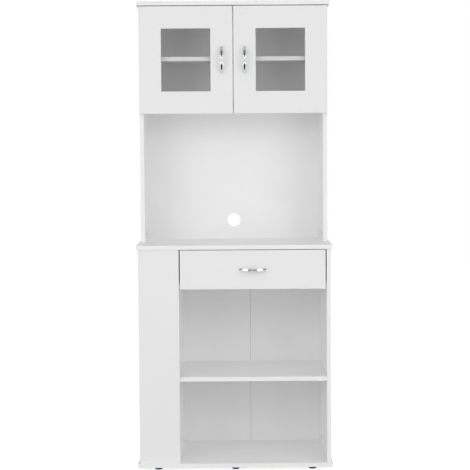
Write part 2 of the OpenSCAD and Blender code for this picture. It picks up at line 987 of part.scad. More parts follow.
// The plastic bead that holds the glass in its recess.
module glass_bead(side) {
    outer = stile_w - glass_ledge + glass_play / 2;
    color(white)
        at_door(side)
            difference() {
                translate([outer, glass_front + glass_t, outer])
                    cube([door_w - 2 * outer, glass_recess - glass_t, door_h - 2 * outer]);
                translate([stile_w, 0, stile_w])
                    cube([door_w - 2 * stile_w, 2 * door_t, door_h - 2 * stile_w]);
            }
}

module left_glass_bead() {
    glass_bead(-1);
}

module right_glass_bead() {
    glass_bead(1);
}

// ---- Handles ----

// A bow with two leaf-shaped lobes: along z, standing on y = 0 and reaching to -y.
module handle() {
    half = handle_cc / 2 + 4;
    sag = handle_out - handle_end_out;
    r = (half * half + sag * sag) / (2 * sag);
    leaf_z = handle_cc * leaf_out_share;
    leaf_half = handle_cc * leaf_half_share;
    lobe = handle_lobe_w / 2;
    leaf_r = (leaf_half * leaf_half + lobe * lobe) / (2 * lobe);
    color(chrome)
        difference() {
            union() {
                intersection() {
                    // side profile: a round arch
                    rotate([0, -90, 0])
                        linear_extrude(2 * handle_lobe_w, center = true)
                            difference() {
                                translate([0, r - handle_out])
                                    circle(r, $fn = 180);
                                translate([0, r - handle_out])
                                    circle(r - handle_bow_t, $fn = 180);
                                translate([-2 * r, -handle_end_out + handle_bow_t + 2])
                                    square([4 * r, 3 * r]);
                            }
                    // front outline: a waist bar and two leaves
                    rotate([90, 0, 0])
                        linear_extrude(2 * handle_out)
                            union() {
                                translate([-handle_waist_w / 2, -half + handle_waist_w / 2])
                                    square([handle_waist_w, 2 * half - handle_waist_w]);
                                for (s = [-1, 1]) {
                                    translate([0, s * (half - handle_waist_w / 2)])
                                        circle(d = handle_waist_w);
                                    translate([0, s * leaf_z])
                                        intersection() {
                                            translate([leaf_r - lobe, 0])
                                                circle(leaf_r, $fn = 120);
                                            translate([lobe - leaf_r, 0])
                                                circle(leaf_r, $fn = 120);
                                        }
                                }
                            }
                }
                for (s = [-1, 1])
                    translate([0, 0, s * handle_cc / 2]) {
                        rod_y(handle_foot_d, -handle_foot_t, 0);
                        rod_y(handle_post_d, -handle_end_out, 0);
                    }
            }
            for (s = [-1, 1])
                translate([0, 0, s * handle_cc / 2])
                    rod_y(handle_screw_d + 2 * fit, -handle_end_out + handle_screw_gap - fit, eps);
        }
}

module handle_screws(t) {
    color(steel)
        for (s = [-1, 1])
            translate([0, t, s * handle_cc / 2])
                rotate([0, 0, -90])
                    pan_screw(handle_screw_d, handle_screw_head_d, handle_screw_head_t,
                              t + handle_end_out - handle_screw_gap);
}

module at_door_handle(side) {
    at_door(side)
        translate([handle_x, 0, door_h / 2])
            children();
}

module left_handle() {
    at_door_handle(-1)
        handle();
}

module right_handle() {
    at_door_handle(1)
        handle();
}

module left_handle_screws() {
    at_door_handle(-1)
        handle_screws(door_t);
}

module right_handle_screws() {
    at_door_handle(1)
        handle_screws(door_t);
}

module at_drawer_handle() {
    translate([x_bay_mid, y_front, z_drawer0 + drawer_front_h / 2])
        rotate([0, 90, 0])
            children();
}

module drawer_handle() {
    at_drawer_handle()
        handle();
}

module drawer_handle_screws() {
    at_drawer_handle()
        handle_screws(board_t);
}

// ---- Drawer ----

drawer_cam_depth = 9.5;
drawer_cam_up = 8;
back_screw_in = 22;
back_screw_low = 22;
back_screw_high = 28;
rail_screw_in = 8;
rail_screw_front = 70;
rail_screw_rear = 100;
channel_screw_front = 50;
channel_screw_rear = 60;

// Cams in the drawer's sides open inwards; +X points into the drawer front.
module at_drawer_cams() {
    for (s = [0, 1])
        translate([x_bay_mid, 0, 0])
            mirror([s, 0, 0])
                translate([-box_half + drawer_t / 2, y_box0, (z_box0 + z_box1) / 2 + drawer_cam_up])
                    rotate([0, 0, -90])
                        rotate([90, 0, 0])
                            children();
}

module drawer_cam_bores() {
    at_drawer_cams() {
        translate([-cam_back, 0, drawer_t / 2 - drawer_cam_depth])
            cylinder(d = cam_d + 2 * fit, h = drawer_cam_depth + 1);
        rod_x(bolt_d + 2 * fit, -cam_back, face_bore + fit);
    }
}

module drawer_front() {
    color(white)
        difference() {
            plate(x_bay_mid - drawer_front_w / 2, x_bay_mid + drawer_front_w / 2,
                  y_front, y_box0, z_drawer0, z_drawer0 + drawer_front_h);
            sheet_groove();
            drawer_cam_bores();
            at_drawer_handle()
                handle_bores(1);
        }
}

// The groove that the drawer bottom slides in: round the front and both sides.
module sheet_groove() {
    half = box_half - drawer_t + groove;
    plate(x_bay_mid - half, x_bay_mid + half, y_box0 - groove, y_box1 + 1,
          z_sheet, z_sheet + back_t + 2 * groove_play);
}

module drawer_side(s) {
    color(white)
        difference() {
            translate([x_bay_mid, 0, 0])
                mirror([s > 0 ? 0 : 1, 0, 0])
                    plate(box_half - drawer_t, box_half, y_box0, y_box1, z_box0, z_box1);
            sheet_groove();
            drawer_cam_bores();
            drawer_screw_bores();
            at_runner(s)
                rail_screw_bores();
        }
}

module drawer_left_side() {
    drawer_side(-1);
}

module drawer_right_side() {
    drawer_side(1);
}

module at_drawer_screws() {
    for (s = [0, 1], z = [z_sheet + back_screw_low, z_box1 - back_screw_high])
        translate([x_bay_mid, 0, 0])
            mirror([s, 0, 0])
                translate([-box_half, y_box1 - drawer_t / 2, z])
                    children();
}

module drawer_screw_bores() {
    at_drawer_screws()
        rod_x(screw_d + 2 * fit, -1, drawer_t + back_screw_in + fit);
}

module drawer_screws() {
    color(steel) {
        at_drawer_screws()
            pan_screw(screw_d, screw_head_d, back_head_t, drawer_t + back_screw_in);
        for (side = [-1, 1])
            at_runner(side)
                rail_screw_places()
                    rotate([0, 0, 180])
                        pan_screw(screw_d, screw_head_d, rail_head_t, runner_t + rail_screw_in);
    }
}

module drawer_back() {
    color(white)
        difference() {
            plate(x_bay_mid - box_half + drawer_t, x_bay_mid + box_half - drawer_t,
                  y_box1 - drawer_t, y_box1, z_sheet + back_t + 2 * groove_play,
                  z_box1 - drawer_back_drop);
            drawer_screw_bores();
        }
}

module drawer_bottom() {
    half = box_half - drawer_t + groove - groove_play;
    color(white)
        plate(x_bay_mid - half, x_bay_mid + half, y_box0 - groove + groove_play, y_box1,
              z_sheet + groove_play, z_sheet + groove_play + back_t);
}

module drawer_cams() {
    color(steel)
        at_drawer_cams()
            cam_lock(drawer_t, drawer_cam_depth);
}

module drawer_bolts() {
    color(steel)
        at_drawer_cams()
            cam_bolt();
}

// ---- Runners ----

// side 1 is the right panel, -1 the left: x = 0 on the panel's face and the drawer at -x.
module at_runner(side) {
    translate([x_bay_mid, 0, 0])
        mirror([side > 0 ? 0 : 1, 0, 0])
            translate([bay_w / 2, 0, 0])
                children();
}

module stud(x0, x1, head_x0, head_x1) {
    rod_x(stud_d, x0, x1);
    rod_x(stud_head_d, head_x0, head_x1);
}

module channel_screw_places() {
    for (y = [y_run0 + channel_screw_front, y_run0 + runner_len - channel_screw_rear])
        translate([-runner_t, y, z_axle])
            children();
}

module channel_screw_bores() {
    channel_screw_places()
        rod_x(screw_d + 2 * fit, 0, runner_t + screw_in + fit);
}

module channel() {
    color(white) {
        difference() {
            union() {
                plate(-runner_t, 0, y_run0, y_run0 + runner_len,
                      z_box0 - runner_t, z_box0 + channel_in + runner_t);
                for (z = [z_box0 - runner_t, z_box0 + channel_in])
                    plate(-flange_reach, 0, y_run0 + open_front, y_run0 + runner_len,
                          z, z + runner_t);
            }
            channel_screw_bores();
        }
        translate([0, y_front_axle, z_axle])
            stud(-roller_out - roller_w - 0.9, -runner_t + eps,
                 -roller_out - roller_w - 0.9, -roller_out - roller_w - 0.2);
    }
}

module right_channel() {
    at_runner(1)
        channel();
}

module left_channel() {
    at_runner(-1)
        channel();
}

module rail_screw_places() {
    for (y = [y_box0 + rail_screw_front, y_box1 - rail_screw_rear])
        translate([-rail_out, y, z_axle])
            children();
}

module rail_screw_bores() {
    rail_screw_places()
        rod_x(screw_d + 2 * fit, -runner_t - rail_screw_in - fit, eps);
}

module rail() {
    ledge = 10;
    color(white) {
        difference() {
            union() {
                plate(-runner_gap, -rail_out, y_box0, y_box1,
                      z_box0 - runner_t, z_track + runner_t);
                plate(-runner_gap - ledge, -rail_out, y_box0, y_box1,
                      z_box0 - runner_t, z_box0);
                plate(-rail_out, -roller_out, y_box0 + 1, y_box1,
                      z_track, z_track + runner_t);
            }
            rail_screw_bores();
        }
        translate([0, y_rear_axle, z_axle])
            stud(-rail_out - eps, -roller_out + 0.9, -roller_out + 0.2, -roller_out + 0.9);
    }
}

module right_rail() {
    at_runner(1)
        rail();
}

module left_rail() {
    at_runner(-1)
        rail();
}

module roller(r) {
    groove_r = 0.8;
    color("#f4f4f4")
        difference() {
            rod_x(2 * r, -roller_out - roller_w, -roller_out);
            rod_x(stud_d + 2 * fit, -roller_out - roller_w - eps, -roller_out + eps);
            for (x = [-roller_out - roller_w, -roller_out])
                translate([x, 0, 0])
                    difference() {
                        rod_x(1.6 * r, -groove_r, groove_r);
                        rod_x(stud_head_d + 1, -2 * groove_r, 2 * groove_r);
                    }
        }
}

module front_roller(side) {
    at_runner(side)
        translate([0, y_front_axle, z_axle])
            roller(front_roller_r);
}

module rear_roller(side) {
    at_runner(side)
        translate([0, y_rear_axle, z_axle])
            roller(rear_roller_r);
}

module left_front_roller() {
    front_roller(-1);
}

module right_front_roller() {
    front_roller(1);
}

module left_rear_roller() {
    rear_roller(-1);
}

module right_rear_roller() {
    rear_roller(1);
}

bottom_board();
right_side();
partition();
column_front();
column_rear();
side_shelves();
mid_shelf();
counter();
base_back_left();
base_back_right();
hutch_left_side();
hutch_right_side();
cupboard_floor();
upper_shelf();
shelf_pins();
top_board();
hutch_back();
glide_feet();
cam_locks();
cam_bolts();
dowels();
left_channel();
right_channel();
wood_screws();
hinge_plates();
hinge_arms();
arm_screws();
door_buffers();
left_door();
left_glass();
left_glass_bead();
left_handle();
left_handle_screws();
left_hinge_cups();
left_cup_screws();
left_hinge_links();
right_door();
right_glass();
right_glass_bead();
right_handle();
right_handle_screws();
right_hinge_cups();
right_cup_screws();
right_hinge_links();
drawer_front();
drawer_left_side();
drawer_right_side();
drawer_back();
drawer_bottom();
drawer_handle();
drawer_handle_screws();
drawer_cams();
drawer_bolts();
drawer_screws();
left_rail();
right_rail();
left_front_roller();
right_front_roller();
left_rear_roller();
right_rear_roller();
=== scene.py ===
import math

import bpy
import numpy as np
from bpy.props import (FloatProperty, FloatVectorProperty, IntProperty, PointerProperty,
                       StringProperty)
from bpy.types import Operator, Panel, PropertyGroup
from mathutils import Matrix, Vector


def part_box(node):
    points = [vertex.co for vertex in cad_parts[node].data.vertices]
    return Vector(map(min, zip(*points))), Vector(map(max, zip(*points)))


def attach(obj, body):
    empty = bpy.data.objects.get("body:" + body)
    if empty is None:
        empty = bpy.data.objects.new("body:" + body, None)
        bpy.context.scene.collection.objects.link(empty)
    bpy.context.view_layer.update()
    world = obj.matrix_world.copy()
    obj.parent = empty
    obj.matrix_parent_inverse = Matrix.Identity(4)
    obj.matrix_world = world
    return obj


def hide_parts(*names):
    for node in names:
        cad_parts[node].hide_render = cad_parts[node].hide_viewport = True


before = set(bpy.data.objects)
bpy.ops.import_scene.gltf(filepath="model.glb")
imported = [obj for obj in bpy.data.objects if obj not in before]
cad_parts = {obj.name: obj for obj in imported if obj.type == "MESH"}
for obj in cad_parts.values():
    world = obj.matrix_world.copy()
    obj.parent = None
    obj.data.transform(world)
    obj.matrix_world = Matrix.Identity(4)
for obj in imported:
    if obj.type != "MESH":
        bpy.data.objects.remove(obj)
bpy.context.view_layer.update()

bl_info = {
    "name": "Microwave cabinet",
    "version": (1, 0, 0),
    "blender": (4, 5, 0),
    "location": "View3D > Sidebar > Cabinet",
    "description": "Dresses a tall white kitchen cabinet with a microwave niche",
    "category": "Object",
}

MM = 0.001
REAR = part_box("right_side")[1].y  # the plane of the boards' rear edges
FACING = 0.7  # a face looks forward or to the rear when its normal's Y is beyond this
MOST = (0.3, 0.7)  # nearly all values of a noise lie between these two
CORE = 0.02 * MM  # first and last radius of a turned profile, closed by a point on its axis
WHITE = (1.0, 1.0, 1.0, 1.0)
WHITE_LEVEL = 1.0  # background strength that shows as plain white


# ---- Settings ----

class BoardSettings(PropertyGroup):
    """Colours of the boards' faces, edges and cores."""

    face: StringProperty(
        name="Face", description="Colour of the coated faces, as a hex code", default="#f5f5f5")
    # A shade lighter than the faces: partly the band's own colour, partly a painted highlight on
    # the front edges.
    band: StringProperty(
        name="Edge band", description="Colour of the glued band on the edges, as a hex code",
        default="#f7f7f7")
    front: StringProperty(
        name="Front", description="Colour of the doors, drawer front and plain front panel, "
        "as a hex code", default="#f2f2f2")
    # A shade greyer than the boards' faces: partly painted hardboard's own colour, partly painted
    # shade for the recesses that the backs close.
    backing: StringProperty(
        name="Painted backs", description="Colour of the thin backs' painted side, as a hex code",
        default="#f0f0f0")
    chip_light: StringProperty(
        name="Light chips", description="Lighter chips of the bare core, as a hex code",
        default="#d2b48a")
    chip_dark: StringProperty(
        name="Dark chips", description="Darker chips of the bare core, as a hex code",
        default="#8f6b45")
    fibre: StringProperty(
        name="Fibre board", description="Bare rear of the thin backs, as a hex code",
        default="#b18a60")
    grain: FloatProperty(
        name="Grain", description="Size of the fine pebble grain of the coating", default=0.6 * MM,
        min=0.1 * MM, max=5 * MM, unit="LENGTH")
    ease: FloatProperty(
        name="Eased edge", description="Radius that the light sees along a board's edges",
        default=0.7 * MM, min=0.0, max=3 * MM, unit="LENGTH")


class GlassSettings(PropertyGroup):
    """The doors' panes."""

    tint: StringProperty(
        name="Tint", description="Colour of light after one face of a pane, as a hex code",
        default="#fcfcfc")
    ior: FloatProperty(
        name="Index", description="Refractive index of the glass", default=1.52, min=1.0, max=2.0)


class HandleSettings(PropertyGroup):
    """Sizes of the bow handles."""

    spacing: FloatProperty(
        name="Hole spacing", description="Distance between the two feet's centres",
        default=89 * MM, min=60 * MM, max=130 * MM, unit="LENGTH")
    reach: FloatProperty(
        name="Reach", description="How far the bow stands off the face", default=25 * MM,
        min=15 * MM, max=35 * MM, unit="LENGTH")
    end_reach: FloatProperty(
        name="End reach", description="How far the bow's tips stand off the face", default=8 * MM,
        min=5 * MM, max=12 * MM, unit="LENGTH")
    thickness: FloatProperty(
        name="Thickness", description="Thickness of the bow", default=5 * MM, min=3 * MM,
        max=8 * MM, unit="LENGTH")
    leaf: FloatProperty(
        name="Leaf width", description="Width of the two leaf-shaped lobes", default=13 * MM,
        min=8 * MM, max=20 * MM, unit="LENGTH")
    waist: FloatProperty(
        name="Waist width", description="Width between the lobes and at the tips",
        default=7 * MM, min=4 * MM, max=10 * MM, unit="LENGTH")
    foot: FloatProperty(
        name="Foot", description="Diameter of the round feet", default=11 * MM, min=8 * MM,
        max=16 * MM, unit="LENGTH")
    rings: IntProperty(
        name="Rings", description="Sections along the bow", default=112, min=24, max=400)
    around: IntProperty(
        name="Around", description="Points around a section", default=48, min=12, max=128)


class GlideSettings(PropertyGroup):
    """Sizes of the black glides under the cabinet."""

    diameter: FloatProperty(
        name="Diameter", description="Widest diameter of a glide", default=27 * MM,
        min=15 * MM, max=40 * MM, unit="LENGTH")
    height: FloatProperty(
        name="Height", description="Height of a glide under the board", default=15 * MM,
        min=8 * MM, max=25 * MM, unit="LENGTH")
    nail: FloatProperty(
        name="Nail", description="Length of the nail in the board", default=9.9 * MM,
        min=5 * MM, max=14 * MM, unit="LENGTH")


class StageSettings(PropertyGroup):
    """Camera, floor and light."""

    eye: FloatVectorProperty(
        name="Eye", description="Where the camera stands", size=3, subtype="TRANSLATION",
        default=(-0.00619, -5.1035, 1.1514))
    yaw: FloatProperty(
        name="Yaw", description="Turn to the right", default=0.0018, subtype="ANGLE")
    pitch: FloatProperty(
        name="Pitch", description="Tilt downwards", default=0.063, subtype="ANGLE")
    roll: FloatProperty(
        name="Roll", description="Turn about the line of sight", default=0.0065, subtype="ANGLE")
    lens: FloatProperty(
        name="Lens", description="Focal length on a 36 mm frame", default=107.45, min=20.0,
        max=300.0, subtype="DISTANCE_CAMERA")
    floor: FloatProperty(
        name="Floor", description="Radius of the pale floor", default=9.0, min=2.0, max=30.0,
        unit="LENGTH")
    sky: FloatProperty(
        name="Sky", description="Strength of the light from straight above",
        default=0.655, min=0.0, max=2.0)
    sides: FloatProperty(
        name="Side lamps", description="Power of each of the two tall lamps at the sides",
        default=43.0, min=0.0, max=500.0, subtype="POWER")
    front: FloatProperty(
        name="Front lamp", description="Power of the wide lamp behind the camera", default=24.5,
        min=0.0, max=500.0, subtype="POWER")
    above: FloatProperty(
        name="Upper lamp", description="Power of the lamp high in front of the cabinet",
        default=31.8, min=0.0, max=500.0, subtype="POWER")


SETTINGS = {
    "cabinet_boards": BoardSettings,
    "cabinet_glass": GlassSettings,
    "cabinet_handles": HandleSettings,
    "cabinet_glides": GlideSettings,
    "cabinet_stage": StageSettings,
}


# ---- Colours and nodes ----

def srgb(code, share=1.0):
    """A hex colour, its light cut to a share, as the linear numbers that a node holds."""
    parts = np.array([int(code[i:i + 2], 16) for i in (1, 3, 5)]) / 255
    linear = np.where(parts <= 0.04045, parts / 12.92, ((parts + 0.055) / 1.055) ** 2.4)
    return (*(share * float(v) for v in linear), 1.0)


def add(tree, kind, *values, take=0, **named):
    """Adds a node and gives one of its outputs, by number or name, or all of them where take is
    None. The values are numbers, colours and other nodes' outputs. They go to the inputs in
    order, and named ones to the input of that name, with _ for a space. A name in small letters
    is a setting of the node."""
    node = tree.nodes.new("ShaderNode" + kind)
    for name, value in named.items():
        if name.islower():
            setattr(node, name, value)
    sockets = list(zip([socket for socket in node.inputs if socket.enabled], values))
    sockets += [(node.inputs[name.replace("_", " ")], value)
                for name, value in named.items() if not name.islower()]
    for socket, value in sockets:
        if isinstance(value, bpy.types.NodeSocket):
            tree.links.new(value, socket)
        else:
            socket.default_value = value
    if isinstance(take, int):
        return [socket for socket in node.outputs if socket.enabled][take]
    return node.outputs[take] if take else node.outputs


def blank(name):
    """A material with an empty node tree, that tree, and its coordinates."""
    material = bpy.data.materials.new(name)
    material.use_nodes = True
    tree = material.node_tree
    tree.nodes.clear()
    return material, tree, add(tree, "TexCoord", take=None)


def cover(tree, **sockets):
    """Ends a material with a plain shader whose sockets hold those numbers and outputs."""
    add(tree, "OutputMaterial", add(tree, "BsdfPrincipled", **sockets), take=None)


def clouds(tree, where, size, *ends, **kind):
    """Soft spots about size metres apart, from 0 to 1 or from one given end to the other."""
    spots = add(tree, "TexNoise", where, 1 / size, **kind)
    return add(tree, "MapRange", spots, *MOST, *ends)


# ---- Finishes ----

def chipboard_core(tree, where, boards):
    """Pressed chips: light and dark flakes of 1 to 3 mm, with the odd pale splinter."""
    flake, splinter = 2.2 * MM, 0.5 * MM
    flakes = add(tree, "TexVoronoi", where, 1 / flake, Randomness=1.0, take="Color")
    tone = add(tree, "SeparateColor", flakes)
    fine = add(tree, "TexNoise", where, 1 / splinter, Detail=3.0)
    fine = add(tree, "Math", fine, 0.35, operation="MULTIPLY")
    share = add(tree, "Math", tone, 0.65, fine, operation="MULTIPLY_ADD")
    return add(tree, "Mix", share, srgb(boards.chip_dark), srgb(boards.chip_light),
               data_type="RGBA")


def coated_board(name, boards, forward, bare_rear=True):
    """White coated chipboard: satin, with a fine pebble grain that only a close look finds. What
    faces forward has its own colour and is a little smoother: the glued band on a front edge, or
    the foil of a front. The band is a shade lighter than the faces, partly its own colour and
    partly a painted highlight for the brighter front edges. The rear edges are bare chips."""
    material, tree, at = blank(name)
    where = at["Object"]
    cloud = clouds(tree, where, 60 * MM, Detail=3.0)
    face = add(tree, "Mix", cloud, srgb(boards.face), srgb(boards.face, 0.985),
               data_type="RGBA")
    facing = add(tree, "SeparateXYZ", at["Normal"], take="Y")
    banded = add(tree, "Math", facing, -FACING, operation="LESS_THAN")
    # On the carcass boards the forward colour is the band's, a shade lighter than the faces:
    # partly its own colour, partly a painted highlight on the front edges.
    colour = add(tree, "Mix", banded, face, srgb(forward), data_type="RGBA")
    rough = clouds(tree, where, 14 * MM, 0.42, 0.5)
    rough = add(tree, "Math", banded, -0.08, rough, operation="MULTIPLY_ADD")
    grain = add(tree, "TexNoise", where, 1 / boards.grain, Detail=1.0)
    pressed = add(tree, "Math", banded, -0.7, 1.0, operation="MULTIPLY_ADD")
    height = add(tree, "Math", grain, pressed, operation="MULTIPLY")
    if bare_rear:
        last = REAR - 3.5 * MM
        place = add(tree, "SeparateXYZ", where, take="Y")
        behind = add(tree, "Math", facing, FACING, operation="GREATER_THAN")
        at_rear = add(tree, "Math", place, last, operation="GREATER_THAN")
        bare = add(tree, "Math", behind, at_rear, operation="MULTIPLY")
        colour = add(tree, "Mix", bare, colour, chipboard_core(tree, where, boards),
                     data_type="RGBA")
        core_rough = add(tree, "Math", bare, 0.85, operation="MULTIPLY")
        rough = add(tree, "Math", rough, core_rough, operation="MAXIMUM")
        chips = add(tree, "TexNoise", where, 1 / (1.2 * MM))
        depth = add(tree, "Math", bare, 6.0, operation="MULTIPLY")
        height = add(tree, "Math", chips, depth, height, operation="MULTIPLY_ADD")
    soft_edge = add(tree, "Bevel", boards.ease, samples=4)
    cover(tree, Base_Color=colour, Roughness=rough, Specular_IOR_Level=0.45,
          Normal=add(tree, "Bump", Height=height, Distance=0.02 * MM, Strength=0.35,
                     Normal=soft_edge))
    return material


def fibre_back(name, boards):
    """Thin hardboard: a white painted face to the room, and on the rear the bare brown fibre
    with its woven mesh print. The painted face is a shade greyer than the boards, partly as
    painted hardboard is and partly as painted shade for the recesses that the backs close."""
    material, tree, at = blank(name)
    where = at["Object"]
    facing = add(tree, "SeparateXYZ", at["Normal"], take="Y")
    painted = add(tree, "Math", facing, -FACING, operation="LESS_THAN")
    bare = add(tree, "Math", 1.0, painted, operation="SUBTRACT")
    fibres = add(tree, "Mapping", where, Scale=(1.0, 1.0, 0.35))
    tone = clouds(tree, fibres, 3 * MM, Detail=6.0, Roughness=0.65)
    brown = add(tree, "Mix", tone, srgb(boards.fibre, 0.72), srgb(boards.fibre),
                data_type="RGBA")
    cloud = clouds(tree, where, 90 * MM, Detail=3.0)
    # This greyer white is partly the hardboard's own colour and partly painted shade for the
    # recesses.
    white = add(tree, "Mix", cloud, srgb(boards.backing), srgb(boards.backing, 0.98),
                data_type="RGBA")
    wire = 1.6 * MM
    weave = [add(tree, "TexWave", where, 1 / (2 * math.pi * wire), bands_direction=direction,
                 take="Fac") for direction in ("X", "Z")]
    mesh_print = add(tree, "Math", *weave, operation="MULTIPLY")
    grain = add(tree, "TexNoise", where, 1 / MM)
    grain = add(tree, "Math", grain, 0.15, operation="MULTIPLY")
    height = add(tree, "Math", mesh_print, bare, grain, operation="MULTIPLY_ADD")
    cover(tree, Base_Color=add(tree, "Mix", painted, brown, white, data_type="RGBA"),
          Roughness=add(tree, "MapRange", painted, 0.0, 1.0, 0.8, 0.5),
          Specular_IOR_Level=0.4,
          Normal=add(tree, "Bump", Height=height, Distance=0.1 * MM, Strength=0.4))
    return material


def polished_chrome(name):
    """Bright chrome plate: a near mirror, with hairlines from wiping that only blur its lights."""
    material, tree, at = blank(name)
    where = at["Object"]
    wiped = add(tree, "Mapping", where, Scale=(1.0, 1.0, 0.06))
    lines = add(tree, "TexNoise", wiped, 1 / (0.25 * MM), Detail=4.0)
    haze = add(tree, "TexNoise", where, 1 / (9 * MM), Detail=3.0)
    blur = add(tree, "MapRange", haze, 0.35, 0.7, 0.05, 0.1)
    tone = add(tree, "Mix", haze, srgb("#e9eaec"), srgb("#dfe1e4"), data_type="RGBA")
    cover(tree, Base_Color=tone, Metallic=1.0,
          Roughness=add(tree, "Math", lines, 0.02, blur, operation="MULTIPLY_ADD"),
          Normal=add(tree, "Bump", Height=lines, Distance=0.002 * MM, Strength=0.2))
    return material


def plated_steel(name, light, dark, rough_low, rough_high):
    """Plated steel: dull metal with faint cloudy patches and the drag marks of the press."""
    material, tree, at = blank(name)
    where = at["Object"]
    patch = clouds(tree, where, 4 * MM, Detail=4.0)
    drag = add(tree, "Mapping", where, Scale=(1.0, 0.12, 1.0))
    marks = add(tree, "TexNoise", drag, 1 / (0.3 * MM), Detail=3.0)
    worn = add(tree, "Math", patch, marks, operation="ADD")
    soft_edge = add(tree, "Bevel", 0.25 * MM, samples=4)
    cover(tree, Base_Color=add(tree, "Mix", patch, srgb(dark), srgb(light), data_type="RGBA"),
          Metallic=1.0, Roughness=add(tree, "MapRange", worn, 0.3, 1.6, rough_low, rough_high),
          Normal=add(tree, "Bump", Height=marks, Distance=0.01 * MM, Strength=0.25,
                     Normal=soft_edge))
    return material


def enamelled_steel(name):
    """Baked white enamel on pressed steel: glossier than the boards, with a soft orange peel."""
    material, tree, at = blank(name)
    where = at["Object"]
    peel = add(tree, "TexNoise", where, 1 / (1.3 * MM), Detail=1.0)
    tone = add(tree, "Mix", clouds(tree, where, 25 * MM), srgb("#ebebe8"), srgb("#f2f2f0"),
               data_type="RGBA")
    soft_edge = add(tree, "Bevel", 0.3 * MM, samples=4)
    cover(tree, Base_Color=tone, Roughness=add(tree, "MapRange", peel, *MOST, 0.28, 0.38),
          Coat_Weight=0.3, Coat_Roughness=0.2,
          Normal=add(tree, "Bump", Height=peel, Distance=0.05 * MM, Strength=0.2,
                     Normal=soft_edge))
    return material


def moulded_plastic(name, light, dark, rough_low, rough_high, grain, **constants):
    """Moulded plastic: an even satin skin with the fine spark texture of its mould."""
    material, tree, at = blank(name)
    where = at["Object"]
    spark = add(tree, "TexNoise", where, 1 / grain)
    tone = add(tree, "Mix", clouds(tree, where, 12 * MM), srgb(dark), srgb(light),
               data_type="RGBA")
    soft_edge = add(tree, "Bevel", 0.3 * MM, samples=4)
    cover(tree, Base_Color=tone,
          Roughness=add(tree, "MapRange", spark, *MOST, rough_low, rough_high),
          Normal=add(tree, "Bump", Height=spark, Distance=0.03 * MM, Strength=0.3,
                     Normal=soft_edge), **constants)
    return material


def beech_dowel(name):
    """Beech: pale pinkish wood with long darker flecks along the peg."""
    material, tree, at = blank(name)
    along = add(tree, "Mapping", at["Object"], Scale=(0.15, 1.0, 1.0))
    fibre = add(tree, "TexNoise", along, 1 / (0.8 * MM), Detail=4.0)
    fleck = add(tree, "TexNoise", along, 1 / (2.2 * MM))
    fleck = add(tree, "MapRange", fleck, 0.6, 0.72)
    wood = add(tree, "Mix", fibre, srgb("#c99f6c"), srgb("#e6c79a"), data_type="RGBA")
    cover(tree, Base_Color=add(tree, "Mix", fleck, wood, srgb("#a87c4b"), data_type="RGBA"),
          Roughness=add(tree, "MapRange", fibre, *MOST, 0.55, 0.75),
          Normal=add(tree, "Bump", Height=fibre, Distance=0.06 * MM, Strength=0.4))
    return material


def clear_pane(name, glass):
    """Clear float glass: it lets the shelf behind it show a shade greyer, and takes a mirror's
    share of the room more the flatter it is looked at. Light goes straight on through the pane,
    so the index is turned over inside it, and both faces mirror alike."""
    material, tree, at = blank(name)
    swell = add(tree, "TexNoise", at["Object"], 1 / (60 * MM), Detail=1.0)
    smear = add(tree, "TexNoise", at["Object"], 1 / (35 * MM), Detail=3.0)
    through = add(tree, "BsdfTransparent", srgb(glass.tint))
    mirror = add(tree, "BsdfGlossy",
                 Roughness=add(tree, "MapRange", smear, 0.35, 0.7, 0.004, 0.03),
                 Normal=add(tree, "Bump", Height=swell, Distance=0.02 * MM, Strength=0.3))
    inside = add(tree, "NewGeometry", take="Backfacing")
    index = add(tree, "MapRange", inside, 0.0, 1.0, glass.ior, 1 / glass.ior)
    share = add(tree, "Fresnel", index)
    add(tree, "OutputMaterial", add(tree, "MixShader", share, through, mirror), take=None)
    return material


# ---- Meshes ----

def surface(rings):
    """Vertices and faces of rings of points, closed around, with a point at both ends: vertex
    (i, j) is ring i's point j, and the end points are the means of the first and last rings."""
    count, around = rings.shape[:2]
    ends = rings[[0, -1]].mean(axis=1)
    vertices = np.concatenate([rings.reshape(-1, 3), ends])
    i, j = np.meshgrid(np.arange(count - 1) * around, np.arange(around), indexing="ij")
    k = (j + 1) % around
    sides = np.stack([i + j, i + k, i + around + k, i + around + j], axis=-1).reshape(-1, 4)
    j = np.arange(around)
    k = (j + 1) % around
    first = np.stack([np.full(around, count * around), k, j], axis=-1)
    base = (count - 1) * around
    last = np.stack([np.full(around, count * around + 1), base + j, base + k], axis=-1)
    return vertices, sides, np.concatenate([first, last])


def outward(vertices, quads, triangles):
    """The same faces, turned round if the closed shell's volume comes out below zero: the volume
    is a sixth of the sum of every triangle's triple product."""
    flat = np.concatenate([quads[:, [0, 1, 2]], quads[:, [0, 2, 3]], triangles])
    a, b, c = (vertices[flat[:, n]] for n in range(3))
    if np.einsum("ij,ij->i", a, np.cross(b, c)).sum() < 0:
        return quads[:, ::-1], triangles[:, ::-1]
    return quads, triangles


def mesh_object(name, points, faces, material):
    """An object in the scene from an array of points and lists of their numbers, face by face."""
    mesh = bpy.data.meshes.new(name)
    mesh.from_pydata(points.tolist(), [], faces)
    mesh.materials.append(material)
    thing = bpy.data.objects.new(name, mesh)
    bpy.context.scene.collection.objects.link(thing)
    return thing


def smooth_object(name, shells, material):
    """One smooth-shaded object from closed shells of rings of points."""
    vertices, quads, triangles, start = [], [], [], 0
    for rings in shells:
        points, four, three = surface(rings)
        four, three = outward(points, four, three)
        vertices.append(points)
        quads.append(four + start)
        triangles.append(three + start)
        start += len(points)
    faces = np.concatenate(quads).tolist() + np.concatenate(triangles).tolist()
    thing = mesh_object(name, np.concatenate(vertices), faces, material)
    thing.data.polygons.foreach_set("use_smooth", np.ones(len(faces), bool))
    thing.data.update()
    return thing


